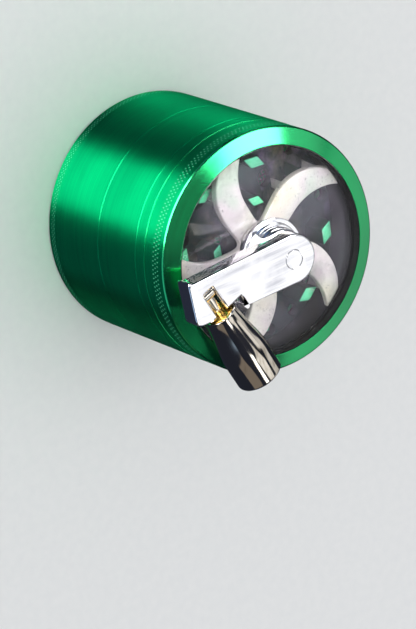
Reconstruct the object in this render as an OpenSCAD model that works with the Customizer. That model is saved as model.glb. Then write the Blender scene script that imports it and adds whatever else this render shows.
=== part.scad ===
// Hand-cranked four-part mill: knurled bottom cup, sieve chamber, toothed grinding chamber and
// a windowed lid that carries a five-bladed rotor on a folding crank.
// Millimetres, +Z up, origin at the centre of the underside. The crank arm points to -Y at rest.

/* [Body] */
// Outside diameter of every body section
body_d = 63; // [52:0.5:80]
// Height of the bottom cup, underside to joint line
cup_h = 23.6; // [19:0.2:32]
// Height of the sieve chamber between its joint lines
sieve_h = 17.4; // [14:0.2:26]
// Height of the grinding chamber's rim that shows between the joint lines
rim_h = 4; // [3:0.1:6]
// Height of the lid ring's straight outer wall
lid_h = 8.4; // [7:0.1:12]
// Rise of the lid's bevel from its outer edge to the window lip
bevel_h = 1.65; // [0.8:0.05:3]
// Thickness of the cup's floor
cup_floor_t = 2.5; // [1.5:0.1:4]
// Thickness of the grinding chamber's drilled floor
mill_floor_t = 2.5; // [1.8:0.1:4]
// Radius inside the bottom of the cup
cup_round_r = 5; // [2:0.5:8]
// Small chamfer on the edges at each joint line
edge_c = 0.3; // [0.15:0.05:0.6]

/* [Threaded joints] */
// Wall of the outer skirt round each threaded joint
skirt_t = 2.2; // [1.8:0.1:3]
// Wall of the spigot that screws into the skirt
spigot_t = 1.9; // [1.5:0.1:2.6]
// Length of the threaded spigot
thread_l = 5; // [3.5:0.1:7]
// Radial room between spigot and skirt
thread_gap = 0.2; // [0.1:0.05:0.3]
// Axial gap at each joint line
joint_gap = 0.1; // [0.05:0.05:0.2]

/* [Sieve] */
// Thickness of the sieve cloth
sieve_t = 0.3; // [0.2:0.05:0.5]
// Width of the ledge that the sieve cloth lies against
sieve_ledge_w = 1.2; // [0.8:0.1:2]
// Height of the ring that presses the sieve home
sieve_ring_h = 1.5; // [1:0.1:2.2]

/* [Window] */
// Width of the lid ring's bevel, from the outside to the window's lip
bevel_w = 4.55; // [4:0.05:6]
// Thickness of the clear window
window_t = 4; // [3:0.1:5]
// Thickness of the gasket under the window
seal_t = 0.4; // [0.3:0.05:0.8]
// Width of the ledge under the gasket
ledge_w = 0.75; // [0.5:0.05:1.5]

/* [Crank bearing] */
// Diameter of the crank shaft in its bush
shaft_d = 6; // [5:0.1:7]
// Running clearance of the shaft in the bush, on the radius
shaft_gap = 0.05; // [0.02:0.01:0.1]
// Outside diameter of the bush where it passes through the window
bush_d = 9; // [8.4:0.1:10.5]
// Diameter of the bush flange on the window
flange_d = 17.4; // [15:0.1:20]
// Thickness of the bush flange
flange_t = 0.5; // [0.4:0.05:1]
// Diameter of the raised step on the flange
step_d = 15; // [13.6:0.1:16]
// Height of the raised step
step_h = 1; // [0.6:0.1:1.6]
// Diameter of the ridges on the crank's hub collar
collar_d = 13.8; // [12.8:0.1:15]
// Height of the hub collar
collar_h = 3.1; // [2.4:0.1:4.5]
// Thickness of the round nut under the window
nut_t = 1.2; // [1:0.1:2]
// Diameter of the round nut
nut_d = 15; // [13:0.2:18]
// Thickness of the slip washer between nut and rotor
washer_t = 0.4; // [0.3:0.05:0.8]

/* [Rotor] */
// Number of blades
blades = 5; // [3:1:5]
// Thickness of the blade plate
plate_t = 2; // [1.5:0.1:3]
// Diameter of the solid middle of the rotor
rotor_hub_d = 18; // [15:0.5:20]
// Bulge of a blade's leading edge beyond the straight line from hub to tip
blade_bulge = 4.5; // [3.5:0.1:5.5]
// Depth of the hollow in a blade's trailing edge
blade_hollow = 3.1; // [2.4:0.1:3.8]
// Radial room between the rotor and the chamber wall
rotor_gap = 0.6; // [0.4:0.1:1.5]
// Diameter of the screw that holds the rotor
screw_d = 2.5; // [2:0.1:3]

/* [Teeth] */
// Length of an outer diamond tooth
tooth_l = 6.4; // [5:0.1:7]
// Width of an outer diamond tooth
tooth_w = 3.2; // [2.4:0.1:3.4]
// Number of fixed teeth in the outer ring
outer_teeth = 8; // [6:1:9]
// Number of fixed teeth in the inner ring
inner_teeth = 4; // [3:1:5]
// Distance of the outer ring of fixed teeth inside the rotor's tips
outer_inset = 5.4; // [5.2:0.1:5.8]
// Radial step from one ring of teeth to the next
ring_step = 4.7; // [4.6:0.1:5.2]
// Gap between the tooth tips and the part that passes over them
tooth_gap = 0.5; // [0.3:0.1:1]
// Diameter of the drop holes in the floor
hole_d = 4; // [3:0.1:4.2]

/* [Crank] */
// Width of the crank arm
arm_w = 12.8; // [11:0.1:14.5]
// Thickness of the crank arm
arm_t = 5; // [4.4:0.1:6.5]
// Length of the arm from the shaft to its square end
arm_l = 31; // [28:0.5:38]
// Corner radius at the arm's square end
arm_corner_r = 2; // [1:0.1:3]
// Diameter of the riveted shaft end in the arm
rivet_d = 4.6; // [3.6:0.1:5]
// Distance from the fold pin to the arm's square end
pin_inset = 5.9; // [5:0.1:7.5]
// Diameter of the fold pin
pin_d = 1.6; // [1.2:0.1:1.8]
// Direction of the folded knob, anticlockwise from +X
fold_turn = 20.8; // [15:0.2:28]
// Distance from the fold pin to the shoulder that the folded knob meets
shoulder = 5.7; // [5:0.1:7]

/* [Knob] */
// Length of the knob grip
grip_l = 21.4; // [17:0.2:27]
// Diameter of the grip at its mouth
mouth_d = 8.8; // [8.2:0.1:9.6]
// Diameter of the grip at its far end
grip_d = 12.1; // [10:0.1:12.6]
// Length over which the grip flares
flare_l = 14.8; // [10:0.2:16]
// Diameter of the rod that the knob turns on
rod_d = 2.4; // [2:0.1:2.6]
// Diameter of the brass bush in the knob's mouth
brass_d = 7.2; // [6.4:0.1:7.4]
// Length of the brass bush
brass_l = 3.5; // [2.5:0.1:5]

/* [Hidden] */
$fn = 96;

// Clearance that keeps touching pieces of one body apart
fit_gap = 0.02;
// Extra length of a cutting tool past a face
over = 1;

// Radii shared by the body sections
body_r = body_d / 2;
skirt_r = body_r - skirt_t;
spigot_r = skirt_r - thread_gap;
bore_r = spigot_r - spigot_t;
store_r = bore_r + 1;

// Heights of the joint lines, the lid's outer edge and the window lip
z_cup = cup_h;
z_sieve = z_cup + sieve_h;
z_rim = z_sieve + rim_h;
z_edge = z_rim + lid_h;
z_lip = z_edge + bevel_h;

// Window and the bearing stack that hangs from it
lip_gap = 0.05;
lip_r = body_r - bevel_w;
window_r = lip_r - lip_gap;
z_window = z_lip - lip_gap;
z_glass = z_window - window_t;
z_nut = z_glass - nut_t;
z_rotor = z_nut - washer_t;
z_plate = z_rotor - plate_t;
rotor_r = bore_r - rotor_gap;

// The ledge ends above the rotor, and the glide ring runs against its underside
ledge_gap = 0.3;
z_ledge = z_rotor + ledge_gap;
ledge_r = lip_r - ledge_w;
glide_t = 0.8;
z_glide = z_ledge - joint_gap - glide_t;

// Grinding space
floor_drop = 1;
z_floor = z_sieve - floor_drop;
z_tooth_top = z_plate - tooth_gap;
z_rotor_tip = z_floor + tooth_gap + 0.3;
screw_head_h = 2;
screw_head_r = 3.2;
tooth_turn = 33;
tooth_tilt = -16;

// Rings of teeth, from the wall inward: hanging, fixed, hanging, fixed
hang_outer_r = rotor_r - 2.2;
outer_ring_r = rotor_r - outer_inset;
hang_inner_r = outer_ring_r - ring_step;
inner_ring_r = hang_inner_r - ring_step;

// Blades: both edges are arcs from the hub to just past the tip, drawn with the tip on +X
blade_step = 360 / blades;
blade_turn = 116.8;
blade_reach = rotor_r + 0.4;
lead_root = polar(rotor_hub_d / 2, 38);
lead_tip = polar(blade_reach, 0);
trail_root = polar(rotor_hub_d / 2, -8);
trail_tip = polar(blade_reach, -11);
lead_arc = arc_circle(lead_root, lead_tip, blade_bulge);
trail_arc = arc_circle(trail_root, trail_tip, blade_hollow);

// Largest square that the round shaft holds
drive_sq = shaft_d / sqrt(2) - 0.04;

// Crank stack above the window
z_flange = z_window + flange_t;
z_step = z_flange + step_h;
z_collar = z_step + joint_gap;
z_arm = z_collar + collar_h;
z_top = z_arm + arm_t;

// Fold joint, with the knob's own axis along its local +X
rod_r = rod_d / 2;
eye_r = rod_r + 0.25;
eye_w = rod_d + 0.4;
slot_w = eye_w + 0.4;
slot_back = eye_r + 0.4;
pin_y = -(arm_l - pin_inset);
pin_z = z_arm + arm_t * 0.54;

// The grip's mouth passes the arm's top edge with this room as it swings up
swing_gap = 0.1;
knob_start = norm([shoulder + swing_gap, z_top - pin_z]);
notch_half = 6.5;
pin_reach = 4;
running_gap = 0.05;
head_r = brass_d / 2 - 1.3;
head_t = 1.4;

// Point at radius r and angle a
function polar(r, a) = [r * cos(a), r * sin(a)];

// Circle through p and q, as [centre, radius], that stands out by bulge on the left of p to q
function arc_circle(p, q, bulge) =
    let (half = norm(q - p) / 2,
         radius = (half * half + bulge * bulge) / (2 * bulge),
         along = (q - p) / (2 * half),
         right = [along.y, -along.x])
    [(p + q) / 2 + right * (radius - bulge), radius];

// Angle at which such a circle crosses radius r on its far side
function crossing(arc, r) =
    let (c = arc[0], d = norm(c))
    atan2(c.y, c.x) + acos((r * r + d * d - arc[1] * arc[1]) / (2 * r * d));

// Angle of the middle of a blade at radius r
function blade_middle(r) = (crossing(lead_arc, r) + crossing(trail_arc, r)) / 2;

// Turned ring with both outer edges chamfered, from z0 to z1
module turned(r_out, r_in, z0, z1, c = edge_c) {
    rotate_extrude()
        polygon([[r_in, z0], [r_out - c, z0], [r_out, z0 + c],
                 [r_out, z1 - c], [r_out - c, z1], [r_in, z1]]);
}

// Plain tube from z0 to z1
module tube(r_out, r_in, z0, z1) {
    rotate_extrude()
        polygon([[r_in, z0], [r_out, z0], [r_out, z1], [r_in, z1]]);
}

// Cylinder from z0 to z1
module post(r, z0, z1) {
    translate([0, 0, z0]) cylinder(r = r, h = z1 - z0);
}

// Diamond tooth, its long diagonal across the radius and its corners leaning
module diamond(l, w, h) {
    rotate(tooth_tilt)
        linear_extrude(h)
            polygon([[0, -l / 2], [w / 2, -w * 0.14], [0, l / 2], [-w / 2, w * 0.14]]);
}

// Ring of n diamonds at radius r, from z0 to z1
module diamond_ring(n, r, turn, l, w, z0, z1) {
    for (i = [0 : n - 1])
        rotate(turn + i * 360 / n) translate([r, 0, z0]) diamond(l, w, z1 - z0);
}

// Ring of n drop holes at radius r through the grinding floor
module drop_holes(n, r, turn, d) {
    for (i = [0 : n - 1])
        rotate(turn + i * 360 / n) translate([r, 0, 0])
            post(d / 2, z_floor - mill_floor_t - over, z_floor + over, $fn = 24);
}

// Places its children in the fold joint's frame: the knob's axis is local +X
module at_fold() {
    translate([0, pin_y, pin_z]) rotate(fold_turn) children();
}

// Cup that catches what falls through the sieve, with a rounded inner corner
module base_cup() {
    color([0.02, 0.5, 0.3])
        difference() {
            turned(body_r, 0, 0, z_cup);
            rotate_extrude() {
                translate([0, cup_floor_t + cup_round_r]) square([store_r, z_cup]);
                translate([0, cup_floor_t]) square([store_r - cup_round_r, z_cup]);
                translate([store_r - cup_round_r, cup_floor_t + cup_round_r])
                    circle(r = cup_round_r);
            }
            post(skirt_r, z_cup - thread_l - thread_gap, z_cup + over);
        }
}

// Storage section: threaded skirt above, threaded spigot with the sieve's seat below
module sieve_chamber() {
    z_low = z_cup - thread_l;
    z_ledge_low = z_low + sieve_ring_h + sieve_t;
    color([0.02, 0.5, 0.3])
        difference() {
            union() {
                turned(body_r, bore_r, z_cup + joint_gap, z_sieve);
                tube(spigot_r, bore_r - sieve_ledge_w, z_low, z_cup + joint_gap + edge_c);
            }
            post(bore_r, z_low - over, z_ledge_low);
            post(bore_r, z_ledge_low + sieve_ledge_w, z_sieve + over);
            post(store_r, z_cup + skirt_t, z_sieve + over);
            post(skirt_r, z_sieve - thread_l - thread_gap, z_sieve + over);
        }
}

// Woven steel cloth, drawn as its flat outline
module sieve_screen() {
    z_seat = z_cup - thread_l + sieve_ring_h + sieve_t;
    color([0.72, 0.72, 0.7])
        post(bore_r - fit_gap, z_seat - sieve_t, z_seat - fit_gap);
}

// Pressed ring under the sieve cloth
module sieve_ring() {
    z_low = z_cup - thread_l;
    color([0.6, 0.6, 0.6])
        tube(bore_r - fit_gap, bore_r - sieve_ledge_w, z_low, z_low + sieve_ring_h - fit_gap);
}

// Grinding chamber: drilled floor with diamond teeth, rim, spigots above and below
module grinding_chamber() {
    color([0.05, 0.45, 0.3])
        difference() {
            union() {
                turned(body_r, bore_r, z_sieve + joint_gap, z_rim);
                tube(spigot_r, bore_r, z_sieve - thread_l, z_glide);
                post(bore_r + fit_gap, z_floor - mill_floor_t, z_floor);
                diamond_ring(outer_teeth, outer_ring_r, tooth_turn,
                             tooth_l, tooth_w, z_floor - fit_gap, z_tooth_top);
                diamond_ring(inner_teeth, inner_ring_r, tooth_turn + 45,
                             tooth_l * 0.8, tooth_w * 0.85, z_floor - fit_gap, z_tooth_top);
            }
            drop_holes(10, hang_inner_r, tooth_turn, hole_d);
            drop_holes(20, bore_r - hole_d * 0.48, tooth_turn + 9, hole_d * 0.72);
            drop_holes(5, inner_ring_r - hole_d - 1.3, tooth_turn, hole_d * 0.8);
        }
}

// Slippery ring that the lid turns on
module glide_ring() {
    color([0.9, 0.9, 0.86]) tube(spigot_r, bore_r + 0.1, z_glide, z_glide + glide_t);
}

// Knurled lid ring: skirt over the chamber's spigot, window seat and rising bevel
module lid_ring() {
    color([0.02, 0.55, 0.33])
        rotate_extrude()
            polygon([[skirt_r, z_rim + joint_gap], [body_r - edge_c, z_rim + joint_gap],
                     [body_r, z_rim + joint_gap + edge_c], [body_r, z_edge - edge_c],
                     [body_r - edge_c, z_edge], [lip_r, z_lip],
                     [lip_r, z_glass - seal_t], [ledge_r, z_glass - seal_t],
                     [ledge_r, z_ledge], [skirt_r, z_ledge]]);
}

// Clear disc with a hole for the bush
module window() {
    color([0.85, 0.9, 0.92, 0.35]) tube(window_r, bush_d / 2 + fit_gap, z_glass, z_window);
}

// Thin black gasket under the window's edge
module window_gasket() {
    color([0.03, 0.03, 0.03])
        tube(window_r, ledge_r, z_glass - seal_t + fit_gap, z_glass - fit_gap);
}

// Flanged bearing bush through the window
module shaft_bush() {
    color([0.82, 0.82, 0.8])
        difference() {
            union() {
                post(bush_d / 2, z_nut, z_window + flange_t);
                turned(flange_d / 2, 0, z_window + fit_gap, z_flange, flange_t * 0.4);
                turned(step_d / 2, 0, z_flange - flange_t * 0.5, z_step, step_h * 0.3);
            }
            post(shaft_d / 2 + shaft_gap, z_nut - over, z_step + over);
        }
}

// Round nut that clamps the bush to the window
module bush_nut() {
    slots = 4;
    slot_depth = 1.2;
    color([0.7, 0.7, 0.7])
        difference() {
            tube(nut_d / 2, bush_d / 2 + fit_gap, z_nut, z_glass - fit_gap);
            for (i = [0 : slots - 1])
                rotate(i * 360 / slots)
                    translate([nut_d / 2 - slot_depth, -slot_depth / 2, z_nut - over])
                        cube([slot_depth + over, slot_depth, nut_t + 2 * over]);
        }
}

// Slip washer between the nut and the turning rotor
module slip_washer() {
    color([0.9, 0.9, 0.85])
        tube(nut_d / 2 - 1, shaft_d / 2 + running_gap, z_rotor + fit_gap, z_nut - joint_gap / 2);
}

// Crank shaft: square drive below, journal, riveted end above
module crank_shaft() {
    color([0.75, 0.75, 0.75])
        difference() {
            union() {
                translate([-drive_sq / 2, -drive_sq / 2, z_plate + fit_gap])
                    cube([drive_sq, drive_sq, plate_t + washer_t / 2]);
                post(shaft_d / 2, z_rotor + fit_gap, z_arm - fit_gap);
                post(rivet_d / 2, z_arm - fit_gap, z_top);
            }
            post(screw_d / 2, z_plate - over, z_glass + over);
        }
}

// Ridged collar between the bush and the arm
module hub_collar() {
    ridge_r = collar_h / 4;
    color([0.85, 0.85, 0.83])
        difference() {
            union() {
                post(collar_d / 2 - ridge_r, z_collar, z_arm - fit_gap);
                for (i = [0 : 1])
                    translate([0, 0, z_collar + ridge_r + i * (2 * ridge_r - fit_gap)])
                        rotate_extrude()
                            translate([collar_d / 2 - ridge_r - i * 0.2, 0])
                                circle(r = ridge_r - fit_gap, $fn = 32);
            }
            post(shaft_d / 2 + fit_gap, z_collar - over, z_arm + over);
        }
}

// Outline of the arm: round at the shaft, square with rounded corners at the knob
module arm_outline() {
    circle(r = arm_w / 2);
    translate([-arm_w / 2, -arm_l + arm_corner_r]) square([arm_w, arm_l - arm_corner_r]);
    translate([-arm_w / 2 + arm_corner_r, -arm_l])
        square([arm_w - 2 * arm_corner_r, arm_corner_r * 2]);
    for (side = [-1, 1])
        translate([side * (arm_w / 2 - arm_corner_r), -arm_l + arm_corner_r])
            circle(r = arm_corner_r);
}

// Crank arm with the slot for the rod and the notch that the folded knob lies in
module crank_arm() {
    color([0.9, 0.9, 0.92])
        difference() {
            translate([0, 0, z_arm]) linear_extrude(arm_t) arm_outline();
            post(rivet_d / 2 + fit_gap, z_arm - over, z_top + over);
            at_fold() {
                translate([-slot_back, -slot_w / 2, -arm_t])
                    cube([slot_back + arm_w, slot_w, 2 * arm_t]);
                translate([shoulder, -notch_half, -arm_t])
                    cube([arm_w, 2 * notch_half, 2 * arm_t]);
                rotate([-90, 0, 0]) translate([0, 0, -arm_w])
                    cylinder(d = pin_d + 2 * fit_gap, h = arm_w + pin_reach, $fn = 32);
            }
        }
}

// Hooked blade between its two edge arcs, trimmed to the rotor's radius
module blade_outline() {
    intersection() {
        difference() {
            translate(lead_arc[0]) circle(r = lead_arc[1]);
            translate(trail_arc[0]) circle(r = trail_arc[1]);
        }
        circle(r = rotor_r);
    }
}

// Rotor: hub, hooked blades and the diamonds that hang between the fixed rings
module rotor() {
    color([0.86, 0.86, 0.85])
        difference() {
            union() {
                translate([0, 0, z_plate])
                    linear_extrude(plate_t) {
                        circle(d = rotor_hub_d);
                        for (i = [0 : blades - 1])
                            rotate(blade_turn + i * blade_step) blade_outline();
                    }
                diamond_ring(blades, hang_inner_r, blade_turn + blade_middle(hang_inner_r),
                             tooth_l * 0.72, tooth_w * 0.8, z_rotor_tip, z_plate + fit_gap);
                diamond_ring(blades, hang_outer_r, blade_turn + blade_middle(hang_outer_r),
                             tooth_l * 0.72, tooth_w * 0.6, z_rotor_tip, z_plate + fit_gap);
            }
            translate([-drive_sq / 2 - fit_gap, -drive_sq / 2 - fit_gap, z_plate - over])
                cube([drive_sq + 2 * fit_gap, drive_sq + 2 * fit_gap, plate_t + 2 * over]);
        }
}

// Screw that holds the rotor up on the shaft's square
module rotor_screw() {
    hex_af = 2;
    color([0.5, 0.5, 0.52])
        difference() {
            union() {
                post(screw_head_r, z_plate - screw_head_h, z_plate - fit_gap);
                post(screw_d / 2 - fit_gap, z_plate - screw_head_h / 2, z_glass);
            }
            translate([0, 0, z_plate - screw_head_h - over])
                cylinder(r = hex_af / sqrt(3), h = screw_head_h / 2 + over, $fn = 6);
        }
}

// Fold pin, pressed in from the arm's end face
module fold_pin() {
    color([0.8, 0.8, 0.78])
        at_fold() rotate([-90, 0, 0]) translate([0, 0, -pin_inset])
            cylinder(d = pin_d, h = pin_inset + pin_reach - fit_gap, $fn = 32);
}

// Rod: eye on the fold pin, shank through the brass bush, head inside the grip
module knob_rod() {
    z_head = knob_start + brass_l + 0.2;
    color([0.78, 0.76, 0.7])
        at_fold()
            difference() {
                union() {
                    rotate([90, 0, 0]) cylinder(r = eye_r, h = eye_w, center = true, $fn = 48);
                    rotate([0, 90, 0]) cylinder(r = rod_r, h = z_head + head_t / 2, $fn = 48);
                    translate([z_head, 0, 0]) rotate([0, 90, 0])
                        cylinder(r = head_r, h = head_t, $fn = 48);
                }
                rotate([90, 0, 0])
                    cylinder(d = pin_d + 2 * running_gap, h = eye_w + over, center = true, $fn = 32);
            }
}

// Brass bush that closes the knob's mouth
module knob_bush() {
    color([0.72, 0.55, 0.2])
        at_fold() translate([knob_start, 0, 0]) rotate([0, 90, 0])
            difference() {
                cylinder(d = brass_d, h = brass_l, $fn = 64);
                translate([0, 0, -over])
                    cylinder(r = rod_r + running_gap, h = brass_l + 2 * over, $fn = 48);
            }
}

// Chromed grip: flares from its mouth to a plain end, with a blind bore for bush and head
module knob_grip() {
    steps = 12;
    end_c = 0.5;
    mouth_r = mouth_d / 2;
    end_r = grip_d / 2;
    room = 0.4;
    flare = [for (i = [0 : steps]) let (t = i / steps)
             [mouth_r + (end_r - mouth_r) * t * t * (3 - 2 * t), flare_l * t]];
    color([0.7, 0.68, 0.64])
        at_fold() translate([knob_start, 0, 0]) rotate([0, 90, 0])
            difference() {
                rotate_extrude($fn = 72)
                    polygon(concat([[0, 0]], flare,
                                   [[end_r, grip_l - end_c], [end_r - end_c, grip_l], [0, grip_l]]));
                translate([0, 0, -over])
                    cylinder(r = brass_d / 2 + fit_gap, h = brass_l + over + fit_gap, $fn = 64);
                cylinder(r = head_r + room, h = brass_l + 0.2 + head_t + room, $fn = 48);
            }
}

base_cup();
sieve_chamber();
sieve_screen();
sieve_ring();
grinding_chamber();
glide_ring();
lid_ring();
window();
window_gasket();
shaft_bush();
bush_nut();
slip_washer();
crank_shaft();
hub_collar();
crank_arm();
rotor();
rotor_screw();
fold_pin();
knob_rod();
knob_bush();
knob_grip();
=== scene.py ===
"""Looks of the hand-cranked four-part mill: new surfaces, finishes, studio light and camera.

Shapes are worked out in millimetres in the frame's own axes (+Z up, crank arm towards -Y) and go
into their meshes in metres. Every piece rides on the CAD body that it belongs to.
"""

import logging
import math
from dataclasses import dataclass
from enum import Enum
from typing import Any, Callable, Optional, Sequence, Union

import bmesh
import bpy
import numpy as np
from mathutils import Matrix, Vector
from mathutils.geometry import tessellate_polygon


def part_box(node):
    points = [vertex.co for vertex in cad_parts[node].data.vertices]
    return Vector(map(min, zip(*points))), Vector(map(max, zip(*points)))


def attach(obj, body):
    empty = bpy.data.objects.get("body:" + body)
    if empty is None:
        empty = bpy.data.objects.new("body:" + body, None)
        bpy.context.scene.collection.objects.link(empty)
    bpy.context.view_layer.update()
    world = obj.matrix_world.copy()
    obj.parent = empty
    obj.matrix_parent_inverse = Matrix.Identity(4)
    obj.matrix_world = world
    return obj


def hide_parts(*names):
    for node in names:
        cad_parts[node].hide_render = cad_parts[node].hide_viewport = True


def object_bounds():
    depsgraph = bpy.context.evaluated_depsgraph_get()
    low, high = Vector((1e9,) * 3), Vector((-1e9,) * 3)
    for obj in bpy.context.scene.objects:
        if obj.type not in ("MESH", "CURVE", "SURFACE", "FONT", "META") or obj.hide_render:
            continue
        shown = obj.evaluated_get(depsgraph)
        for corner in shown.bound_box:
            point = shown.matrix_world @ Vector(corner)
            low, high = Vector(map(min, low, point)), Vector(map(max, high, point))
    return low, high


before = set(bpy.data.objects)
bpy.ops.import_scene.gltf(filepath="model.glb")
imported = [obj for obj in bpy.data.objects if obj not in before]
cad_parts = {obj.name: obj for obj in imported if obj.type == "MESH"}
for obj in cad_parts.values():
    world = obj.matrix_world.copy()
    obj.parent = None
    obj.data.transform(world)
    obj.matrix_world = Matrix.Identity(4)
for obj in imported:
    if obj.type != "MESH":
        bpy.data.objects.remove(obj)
cad_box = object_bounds()

MM = 0.001
TURN = 2 * math.pi
ROUND = 256
JOINT_CUT = 0.15
PROFILE_STEP = 0.3
CUP_STEP = 0.36
THREAD_DEPTH = 0.26
LOG = logging.getLogger("mill")

Colour = tuple[float, float, float]
Ripple = Callable[[np.ndarray, np.ndarray, np.ndarray], np.ndarray]


class Body(str, Enum):
    """CAD bodies that pieces ride on."""

    CUP = "cup"
    SIEVE = "sieve"
    MILL = "mill"
    LID = "lid"
    CRANK = "crank"
    KNOB = "knob"


class Slot(str, Enum):
    """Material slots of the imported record."""

    GREEN = "green_anodised"
    CHROME = "chrome"
    NICKEL = "knob_nickel"
    BRASS = "brass"
    ALUMINIUM = "pale_aluminium"
    STEEL = "turned_steel"
    CLOTH = "steel_cloth"
    WINDOW = "clear_window"
    GASKET = "black_gasket"


# ---------------------------------------------------------------------------------------------
# Plane curves
# ---------------------------------------------------------------------------------------------


def unit(vectors: np.ndarray) -> np.ndarray:
    """Each row over its own length."""
    return vectors / np.maximum(np.linalg.norm(vectors, axis=-1, keepdims=True), 1e-12)


def polar(radius: Any, degrees: Any) -> np.ndarray:
    """Points (r cos a, r sin a)."""
    a = np.radians(degrees)
    return np.stack(np.broadcast_arrays(radius * np.cos(a), radius * np.sin(a)), -1)


def turned_by(points: np.ndarray, degrees: float) -> np.ndarray:
    """Plane points turned anticlockwise: (x cos a - y sin a, x sin a + y cos a)."""
    c, s = math.cos(math.radians(degrees)), math.sin(math.radians(degrees))
    return points @ np.array([[c, s], [-s, c]])


def eased(corners: Sequence, cut: Any, steps: int = 5) -> np.ndarray:
    """Closed outline with its corners eased.

    A corner p becomes the curve (1-t)^2 a + 2 t (1-t) p + t^2 b, where a and b lie on its two
    edges at the cut's distance from p, and never further than 0.45 of the edge.

    Args:
        corners: The outline's corners, in order.
        cut: Distance of the curve's ends from the corner, one number or one for each corner.
        steps: Points on each curve.

    Returns:
        The outline's points, steps of them for each corner.
    """
    p = np.asarray(corners, float)
    before, after = np.roll(p, 1, 0) - p, np.roll(p, -1, 0) - p
    room = 0.45 * np.minimum(np.linalg.norm(before, axis=1), np.linalg.norm(after, axis=1))
    reach = np.minimum(np.broadcast_to(cut, len(p)), room)[:, None]
    a, b = p + unit(before) * reach, p + unit(after) * reach
    t = np.linspace(0, 1, steps)[None, :, None]
    curve = (1 - t) ** 2 * a[:, None] + 2 * t * (1 - t) * p[:, None] + t**2 * b[:, None]
    return curve.reshape(-1, 2)


def dense(path: np.ndarray, step: float) -> np.ndarray:
    """Path with extra points, linear over its length, so that none is further than step apart."""
    along = np.r_[0, np.cumsum(np.linalg.norm(np.diff(path, axis=0), axis=1))]
    marks = np.union1d(along, np.arange(0, along[-1], step))
    return np.stack([np.interp(marks, along, path[:, i]) for i in (0, 1)], 1)


def ring_profile(corners: Sequence, cuts: Sequence) -> np.ndarray:
    """Closed profile with eased corners and with points no further apart than PROFILE_STEP."""
    loop = eased(corners, cuts)
    return dense(np.r_[loop, loop[:1]], PROFILE_STEP)[:-1]


def inset(loop: np.ndarray, distance: float) -> np.ndarray:
    """Closed loop moved to its left by a distance.

    Each point moves along (m + n) / (1 + m.n), where m and n are the left normals of the edges
    before and after it, so that the edges stay parallel.
    """
    edge = unit(np.roll(loop, -1, 0) - loop)
    after = np.stack([-edge[:, 1], edge[:, 0]], 1)
    before = np.roll(after, 1, 0)
    spread = np.maximum(1 + (after * before).sum(1, keepdims=True), 0.35)
    return loop + (after + before) / spread * distance


def ring_points(centre: np.ndarray, radius: float, count: int, clockwise: bool) -> np.ndarray:
    """Circle of count points about a centre, clockwise where it bounds a hole."""
    turn = np.arange(count) * 360 / count * (-1 if clockwise else 1)
    return centre + polar(radius, turn)


def bulged(p: np.ndarray, q: np.ndarray, bulge: float, count: int = 80) -> np.ndarray:
    """Arc from p to q that stands out by bulge on the left.

    Its circle has the radius (h^2 + b^2) / 2b, with h half the chord and b the bulge, and its
    centre lies radius - b to the right of the chord's middle.
    """
    half = np.linalg.norm(q - p) / 2
    radius = (half**2 + bulge**2) / (2 * bulge)
    along = (q - p) / (2 * half)
    centre = (p + q) / 2 + np.array([along[1], -along[0]]) * (radius - bulge)
    first, last = (math.atan2(*(e - centre)[::-1]) for e in (p, q))
    sweep = (first - last) % TURN
    a = first - sweep * np.linspace(0, 1, count)
    return centre + radius * np.stack([np.cos(a), np.sin(a)], 1)


def reach_part(arc: np.ndarray, low: float, high: float, count: int) -> np.ndarray:
    """The stretch of an outward arc between two distances from the origin, evenly spaced."""
    r = np.linalg.norm(arc, axis=1)
    marks = np.linspace(low, high, count)
    return np.stack([np.interp(marks, r, arc[:, i]) for i in (0, 1)], 1)


# ---------------------------------------------------------------------------------------------
# Meshes
# ---------------------------------------------------------------------------------------------


def grid_faces(rows: int, columns: int, wrap_rows: bool, wrap_columns: bool) -> np.ndarray:
    """Quads of a grid of rows by columns, wound so that column x row direction is outward."""
    i, j = np.meshgrid(
        np.arange(rows if wrap_rows else rows - 1),
        np.arange(columns if wrap_columns else columns - 1),
        indexing="ij",
    )
    up, on = (i + 1) % rows, (j + 1) % columns
    quads = [i * columns + j, i * columns + on, up * columns + on, up * columns + j]
    return np.stack(quads, -1).reshape(-1, 4)


class Shell:
    """Points and faces of one piece, gathered in millimetres before they go into its mesh."""

    def __init__(self) -> None:
        """Starts with nothing in it."""
        self.points: list[np.ndarray] = []
        self.faces: list[list[int]] = []
        self.count = 0

    def add(self, points: np.ndarray, faces: np.ndarray) -> "Shell":
        """Adds points (n, 3) and faces that count from the first of them."""
        self.points.append(points.reshape(-1, 3))
        self.faces.extend((faces + self.count).tolist())
        self.count += len(self.points[-1])
        return self

    def surface(
        self, grid: np.ndarray, wrap_rows: bool = False, wrap_columns: bool = True
    ) -> "Shell":
        """Adds a surface given as a grid (rows, columns, 3)."""
        rows, columns = grid.shape[:2]
        return self.add(grid, grid_faces(rows, columns, wrap_rows, wrap_columns))

    def placed(self, matrix: Matrix) -> "Shell":
        """Moves everything so far by a matrix in millimetres."""
        m = np.array(matrix)
        self.points = [p @ m[:3, :3].T + m[:3, 3] for p in self.points]
        return self

    def build(self, name: str, sharp: float = 32.0) -> bpy.types.Object:
        """Makes the piece: doubles merged, smooth but for edges sharper than an angle.

        Args:
            name: The object's name.
            sharp: Edges over this many degrees stay crisp.

        Returns:
            The linked object, at the origin.
        """
        mesh = bpy.data.meshes.new(name)
        mesh.from_pydata(np.concatenate(self.points) * MM, [], self.faces)
        work = bmesh.new()
        work.from_mesh(mesh)
        bmesh.ops.remove_doubles(work, verts=work.verts, dist=4e-7)
        work.to_mesh(mesh)
        work.free()
        mesh.validate()
        mesh.shade_smooth()
        mesh.set_sharp_from_angle(angle=math.radians(sharp))
        piece = bpy.data.objects.new(name, mesh)
        bpy.context.scene.collection.objects.link(piece)
        return piece


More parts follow.
